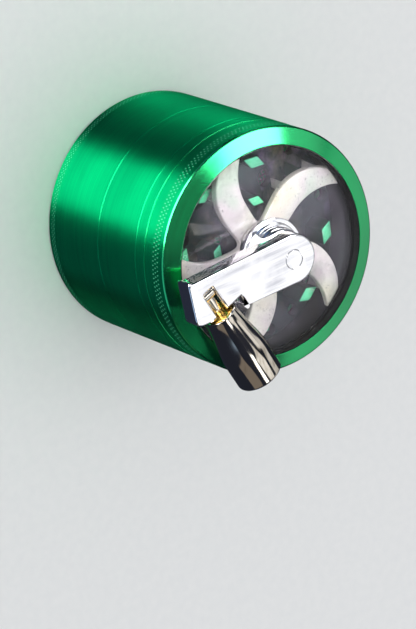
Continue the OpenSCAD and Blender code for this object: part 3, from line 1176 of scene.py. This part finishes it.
@dataclass
class Lid:
    """Knurled lid ring, window, gasket and the crank's bearing bush."""

    span: Span
    edge_z: float = 53.4
    lip: float = 26.95
    skirt: float = 29.3
    ledge: float = 26.2
    knurl_low: float = 48.2
    knurl_high: float = 51.9
    corner: float = JOINT_CUT
    edge: float = 0.3
    gap: float = 0.01
    recess: float = 0.3

    def profile(self) -> np.ndarray:
        """(r, z) of the ring, anticlockwise: skirt, recess for the knurled wall, bevel, seat."""
        s, edge = self.span, self.edge
        r, back = s.radius, s.radius - self.recess
        seat = Span.of("window_gasket").low
        ledge_z = s.high - 5.35
        corners = [
            (self.skirt, s.low), (r - self.corner, s.low), (r, s.low + self.corner),
            (back, s.low + self.corner + 0.05), (back, self.edge_z - edge - 0.05),
            (r, self.edge_z - edge), (r - edge, self.edge_z), (self.lip, s.high),
            (self.lip, seat), (self.ledge, seat), (self.ledge, ledge_z), (self.skirt, ledge_z),
        ]
        cuts = [0.2, 0.05, 0.03, 0, 0, 0.03, 0.16, 0.22, 0, 0.1, 0.1, 0.1]
        return ring_profile(corners, cuts)

    def bush(self) -> Shell:
        """Bush with its thin flange and raised step, both eased."""
        s = Span.of("shaft_bush")
        bore, shank, step, top = 3.05, 4.5, 7.5, s.high
        window = Span.of("window").high
        corners = [
            (bore, s.low), (shank, s.low), (shank, window + 0.02), (s.radius, window + 0.02),
            (s.radius, window + 0.5), (step, window + 0.5), (step, top), (bore, top),
        ]
        return lathe(eased(corners, [0.1, 0.2, 0, 0.1, 0.2, 0.12, 0.4, 0.2]), True, 160)

    def build(self, finishes: Finishes) -> None:
        """Makes the ring, its knurl, the window and the bush."""
        ring = lathe(self.profile(), True, 384)
        dress(ring.build("lid_shell"), Body.LID, Slot.GREEN, finishes.bevel, "lid_ring")
        low = self.span.low + self.corner + self.gap
        high = self.edge_z - self.edge - self.gap
        plain = (self.knurl_low - low, high - self.knurl_high)
        band = Knurl(self.span.radius, low, high, 30.0, plain=plain).shell()
        dress(band.build("lid_knurl", 20), Body.LID, Slot.GREEN, finishes.knurl)
        w, bore = Span.of("window"), 4.52
        pane = [(bore, w.low), (w.radius, w.low), (w.radius, w.high), (bore, w.high)]
        disc = lathe(eased(pane, [0.05, 0.15, 0.3, 0.15]), True, 384)
        dress(disc.build("window_pane"), Body.LID, Slot.WINDOW, finishes.window, "window")
        dress(self.bush().build("bush_flange"), Body.LID, Slot.STEEL, finishes.hub, "shaft_bush")
        seal = Span.of("window_gasket")
        inner, outer, top = self.lip - 0.13, self.lip - 0.02, w.high - 0.25
        corners = [
            (self.ledge, seal.low), (outer, seal.low), (outer, top), (inner, top),
            (inner, seal.high), (self.ledge, seal.high),
        ]
        gasket = lathe(eased(corners, 0.04, 3), True, 384)
        dress(gasket.build("window_seal"), Body.LID, Slot.GASKET, finishes.rubber, "window_gasket")
        carry("bush_nut", finishes.steel)


@dataclass
class Rotor:
    """Five hooked blades on a hub, with the diamonds that hang between the fixed rings."""

    low: float
    high: float
    reach: float = 26.6
    hub: float = 9.0
    blades: int = 5
    first_turn: float = 116.8
    root_blend: float = 12.4
    square: float = 4.24
    tip_low: float = 40.8

    def edges(self) -> tuple[np.ndarray, np.ndarray]:
        """Leading and trailing arcs of the blade whose tip is on +X, from hub to tip."""
        lead = bulged(polar(self.hub, 38.0), polar(27.0, 0.0), 4.5)
        trail = bulged(polar(self.hub, -8.0), polar(27.0, -11.0), 3.1)
        return lead, trail

    def outline(self) -> np.ndarray:
        """Whole outline, anticlockwise.

        Each blade goes out along its trailing arc, round the tip circle and back along its
        leading arc. A cubic curve, tangent to both arcs, rounds the valley to the next blade.
        """
        lead, trail = self.edges()
        out = reach_part(trail, self.root_blend, self.reach, 30)
        back = reach_part(lead, self.root_blend, self.reach, 30)[::-1]
        ends = [math.degrees(math.atan2(p[1], p[0])) for p in (out[-1], back[0])]
        tip = polar(self.reach, np.linspace(*ends, 12))[1:-1]
        step = 360 / self.blades
        target = turned_by(out, step)
        start_way, end_way = unit(back[-1] - back[-2]), unit(target[1] - target[0])
        pull = 0.95 * np.linalg.norm(target[0] - back[-1])
        t = np.linspace(0, 1, 22)[1:-1, None]
        p0, p1 = back[-1], back[-1] + start_way * pull
        p2, p3 = target[0] - end_way * pull, target[0]
        valley = (1 - t) ** 3 * p0 + 3 * t * (1 - t) ** 2 * p1
        valley = valley + 3 * t**2 * (1 - t) * p2 + t**3 * p3
        blade = np.concatenate([out, tip, back, valley])
        turns = [turned_by(blade, self.first_turn + k * step) for k in range(self.blades)]
        return np.concatenate(turns)

    def middle(self, radius: float) -> float:
        """Angle of a blade's middle at a radius."""
        angles = []
        for arc in self.edges():
            r = np.linalg.norm(arc, axis=1)
            angles.append(np.interp(radius, r, np.degrees(np.arctan2(arc[:, 1], arc[:, 0]))))
        return sum(angles) / 2

    def build(self, finishes: Finishes) -> None:
        """Makes the plate and its hanging diamonds, and dresses the screw."""
        h = self.square / 2
        hole = eased([(-h, -h), (-h, h), (h, h), (h, -h)], 0.25, 4)
        shell = Plate((self.outline(), hole), self.low, self.high, 0.4, 0.25).shell()
        step = 360 / self.blades
        for radius, tooth in ((16.5, Diamond(4.6, 2.56)), (24.4, Diamond(4.6, 1.92))):
            turn = self.first_turn + self.middle(radius)
            for k in range(self.blades):
                loop = tooth.outline(radius, turn + k * step)
                Plate((loop,), self.tip_low, self.low + 0.05, 0.02, 0.2).add_to(shell)
        dress(shell.build("rotor_blades"), Body.CRANK, Slot.ALUMINIUM, finishes.rotor, "rotor")
        carry("rotor_screw", finishes.steel)


@dataclass
class Crank:
    """Crank arm, ridged collar, shaft and fold pin."""

    span: Span
    width: float = 12.8
    length: float = 31.0
    corner: float = 2.0
    pin_inset: float = 5.9
    fold_turn: float = 20.8
    slot_width: float = 3.2
    slot_back: float = 1.85
    shoulder: float = 5.7
    notch: float = 6.5
    rivet: float = 2.05

    def outline(self) -> np.ndarray:
        """Arm seen from above, anticlockwise.

        Round about the shaft, square with small corners at the knob, less the slot for the rod
        and the notch for the folded knob. Both are cut in the fold joint's own axes e and f.
        """
        w = self.width / 2
        e = polar(1.0, self.fold_turn)
        f = np.array([-e[1], e[0]])
        pin = np.array([0, -(self.length - self.pin_inset)])

        def at(x: float, y: float) -> np.ndarray:
            """A point of the fold joint's axes."""
            return pin + e * x + f * y

        inner = at(self.shoulder, self.notch)
        front = at(self.shoulder, 0)
        low = front - f * ((w - front[0]) / e[1])
        high = inner + e * ((w - inner[0]) / e[0])
        half, s = self.slot_width / 2, self.shoulder
        corners = [
            (-w, -self.length), (w, -self.length), low, at(s, -half), at(-self.slot_back, -half),
            at(-self.slot_back, half), at(s, half), inner, high,
        ]
        cuts = [self.corner, self.corner, 0.35, 0.3, 0.5, 0.5, 0.3, 0.3, 0.35]
        sides = eased(np.array(corners), cuts, 6)
        head = polar(w, np.linspace(0, 180, 40))
        return np.concatenate([sides[6:], head, sides[:6]])

    def collar(self) -> Shell:
        """Collar with two round ridges: each is a half circle in section."""
        s = Span.of("hub_collar")
        bore, ridge = 3.02, (s.high - s.low) / 4
        a = np.linspace(-np.pi / 2, np.pi / 2, 14)
        rings = [
            np.stack([s.radius - ridge - k * 0.2 + ridge * np.cos(a),
                      s.low + ridge * (1 + 2 * k) + ridge * np.sin(a)], 1)
            for k in (0, 1)
        ]
        profile = np.concatenate([[(bore, s.low)], *rings, [(bore, s.high)]])
        return lathe(profile, True, 160)

    def build(self, finishes: Finishes) -> None:
        """Makes the arm and the collar, and dresses shaft, pin and washer."""
        hole = ring_points(np.zeros(2), self.rivet, 48, True)
        arm = Plate((self.outline(), hole), self.span.low, self.span.high, 0.55, 0.25, 6)
        shell = arm.shell()
        dress(shell.build("crank_arm_body"), Body.CRANK, Slot.CHROME, finishes.arm, "crank_arm")
        collar = self.collar().build("hub_ridges", 60)
        dress(collar, Body.CRANK, Slot.CHROME, finishes.hub, "hub_collar")
        carry("crank_shaft", finishes.arm)
        carry("fold_pin", finishes.steel)
        carry("slip_washer", finishes.nylon)


@dataclass
class Knob:
    """Flared grip on its rod, with the brass bush in its mouth."""

    pin: tuple[float, float, float] = (0.0, -25.1, 62.4)
    fold_turn: float = 20.8
    start: float = 6.239
    mouth: float = 4.4
    end: float = 6.05
    flare: float = 14.8
    length: float = 21.4
    brass: float = 3.6
    brass_length: float = 3.5
    brass_bore: float = 1.25

    def place(self) -> Matrix:
        """From a lathe's own axes to the fold joint: +Z becomes the knob's axis."""
        turn = Matrix.Rotation(math.radians(self.fold_turn), 4, "Z")
        tip = Matrix.Rotation(math.radians(90), 4, "Y")
        along = Matrix.Translation((0, 0, self.start))
        return Matrix.Translation(self.pin) @ turn @ tip @ along

    def grip_profile(self) -> np.ndarray:
        """(r, z) from the bore's end out to the mouth and along the flare to the far end.

        The flare is mouth + (end - mouth) (3 t^2 - 2 t^3), and the far end closes with a bead.
        """
        t = np.linspace(0, 1, 36)
        wall = self.mouth + (self.end - self.mouth) * t * t * (3 - 2 * t)
        flare = np.stack([wall, self.flare * t], 1)
        bore, head = self.brass + 0.02, 2.7
        inner = np.array([(0, 5.5), (head, 5.5), (head, 3.52), (bore, 3.52), (bore, 0.12)])
        mouth = np.array([(bore + 0.1, 0.02), (self.mouth - 0.18, 0), (self.mouth - 0.04, 0.06)])
        a = np.linspace(0, np.pi / 2, 9)
        bead = 0.7
        centre = (self.end - bead, self.length - bead)
        tail = np.stack([centre[0] + bead * np.cos(a), centre[1] + bead * np.sin(a)], 1)
        return np.concatenate([inner, mouth, flare[1:], tail, [(0, self.length)]])

    def build(self, finishes: Finishes) -> None:
        """Makes the grip and the bush, and dresses the rod."""
        grip = lathe(self.grip_profile(), False, 128).placed(self.place())
        dress(grip.build("grip_shell", 40), Body.KNOB, Slot.NICKEL, finishes.nickel, "knob_grip")
        bore, r, end = self.brass_bore, self.brass, self.brass_length
        corners = [(bore, 0), (r, 0), (r, end), (bore, end)]
        bush = lathe(eased(corners, [0.15, 0.3, 0.1, 0.1]), True, 72).placed(self.place())
        dress(bush.build("brass_bush"), Body.KNOB, Slot.BRASS, finishes.brass, "knob_bush")
        carry("knob_rod", finishes.rod)


# ---------------------------------------------------------------------------------------------
# Studio
# ---------------------------------------------------------------------------------------------


class Reach(Enum):
    """What a light acts on."""

    GLOSS = "mirrored in polished surfaces"
    MATTE = "lights matte surfaces"


@dataclass(frozen=True)
class Softbox:
    """Area light that faces the object."""

    name: str
    azimuth: float
    elevation: float
    distance: float
    size: tuple[float, float]
    radiance: float
    reach: Reach = Reach.GLOSS
    colour: Colour = (1.0, 1.0, 1.0)

    def build(self, target: Vector) -> None:
        """Places the light at its direction from the target: (cos e cos a, cos e sin a, sin e).

        Its power is pi times its area times its radiance.
        """
        a, e = math.radians(self.azimuth), math.radians(self.elevation)
        way = Vector((math.cos(e) * math.cos(a), math.cos(e) * math.sin(a), math.sin(e)))
        data = bpy.data.lights.new(self.name, "AREA")
        data.shape, data.size, data.size_y = "RECTANGLE", *self.size
        data.energy = math.pi * self.size[0] * self.size[1] * self.radiance
        data.color = self.colour
        lamp = bpy.data.objects.new(self.name, data)
        lamp.location = target + way * self.distance
        lamp.rotation_euler = way.to_track_quat("Z", "Y").to_euler()
        gloss = self.reach is Reach.GLOSS
        lamp.visible_camera, lamp.visible_diffuse = False, not gloss
        lamp.visible_glossy, lamp.visible_transmission = gloss, gloss
        bpy.context.scene.collection.objects.link(lamp)


@dataclass
class Studio:
    """Floor, lights, surroundings and camera."""

    target: Vector
    floor_radius: float = 4.0
    boxes: tuple[Softbox, ...] = (
        Softbox("box_arm", 50.6, 53.6, 0.8, (0.34, 0.34), 1.1),
        Softbox("box_back", 120.0, 58.0, 0.75, (0.22, 0.4), 12.0),
        Softbox("box_join", 95.0, 39.0, 0.78, (0.3, 0.24), 1.0),
        Softbox("box_far", 58.0, 20.0, 0.8, (0.95, 0.34), 0.75),
        Softbox("box_zenith", 200.0, 83.0, 0.76, (0.44, 0.44), 0.2),
        Softbox("box_band", 227.0, 32.0, 0.7, (0.56, 0.46), 11.0),
        Softbox("box_low", 282.0, 32.0, 0.7, (0.5, 0.4), 0.85, Reach.GLOSS, (0.5, 0.7, 1.0)),
        Softbox("box_side", 134.0, 30.0, 0.75, (0.46, 0.4), 0.45),
        Softbox("box_teal", 179.0, 30.0, 0.75, (0.3, 0.4), 0.5, Reach.GLOSS, (0.15, 0.3, 0.6)),
        Softbox("box_knob", 327.0, 26.0, 0.8, (0.34, 0.5), 0.22, Reach.GLOSS, (1.0, 0.84, 0.66)),
        Softbox("box_streak", 8.0, 60.0, 0.8, (0.15, 0.3), 3.0),
        Softbox("fill_high", 60.0, 76.0, 1.3, (1.2, 1.2), 1.25, Reach.MATTE),
    )

    def floor(self, finish: bpy.types.Material) -> None:
        """Pale disc at the object's foot."""
        rim = np.zeros((1, 2)) + (self.floor_radius, 0)
        disc = lathe(np.concatenate([rim, rim * 0]) / MM, False, 96)
        self.stand(disc.build("studio_floor"), finish)

    def dome(self, finish: bpy.types.Material) -> None:
        """Pale even dome over the floor, a quarter circle turned about +Z."""
        a = np.linspace(0, np.pi / 2, 24)
        arc = np.stack([np.cos(a), np.sin(a)], 1) * self.floor_radius
        self.stand(lathe(arc / MM, False, 96).build("studio_dome"), finish)

    def stand(self, scenery: bpy.types.Object, finish: bpy.types.Material) -> None:
        """Gives scenery its finish; polished metal reflects only the softboxes."""
        scenery.data.materials.append(finish)
        scenery.visible_glossy = False

    def surroundings(self, colour: Colour, strength: float) -> None:
        """Even dim light from all round."""
        world = bpy.data.worlds.new("studio")
        world.use_nodes = True
        back = world.node_tree.nodes["Background"]
        back.inputs[0].default_value = (*colour, 1.0)
        back.inputs[1].default_value = strength
        bpy.context.scene.world = world

    def camera(self) -> None:
        """Camera that looks down on the lid from the crank's side, rolled as a tilted shot."""
        place = Vector((-0.342338, -0.448907, 0.805234))
        forward = Vector((0.37636, 0.45837, -0.80514)).normalized()
        up = Vector((-0.90417, 0.37128, -0.21127))
        right = forward.cross(up).normalized()
        up = right.cross(forward)
        data = bpy.data.cameras.new("camera")
        data.lens, data.sensor_width = 216.0, 36.0
        data.clip_start, data.clip_end = 0.01, 20.0
        camera = bpy.data.objects.new("camera", data)
        axes = Matrix((right, up, -forward)).transposed().to_4x4()
        camera.matrix_world = Matrix.Translation(place) @ axes
        bpy.context.scene.collection.objects.link(camera)
        bpy.context.scene.camera = camera

    def build(self, finishes: Finishes) -> None:
        """Sets up everything round the object."""
        self.floor(finishes.floor)
        self.dome(finishes.dome)
        self.surroundings((0.5, 0.6, 1.0), 0.04)
        bpy.context.scene.view_settings.view_transform = "Standard"
        for box in self.boxes:
            box.build(self.target)
        self.camera()
        LOG.info("studio: %d softboxes", len(self.boxes))


def main() -> None:
    """Builds the sub-assemblies in order, then the studio."""
    logging.basicConfig(level=logging.INFO, format="%(message)s")
    finishes = Finishes()
    cup, sieve, mill = (Span.of(n) for n in ("base_cup", "sieve_chamber", "grinding_chamber"))
    lid, arm, rotor = (Span.of(n) for n in ("lid_ring", "crank_arm", "rotor"))
    joint, blade_t = 0.1, 2.0
    Cup(cup).build(finishes)
    SieveSection(sieve, cup.high + joint).build(finishes)
    MillSection(mill, sieve.high + joint, lid.low - joint).build(finishes)
    Lid(lid).build(finishes)
    Rotor(rotor.high - blade_t, rotor.high).build(finishes)
    Crank(arm).build(finishes)
    Knob().build(finishes)
    lo, hi = (Vector(corner) for corner in cad_box)
    Studio((lo + hi) / 2).build(finishes)


if __name__ == "__main__":
    main()
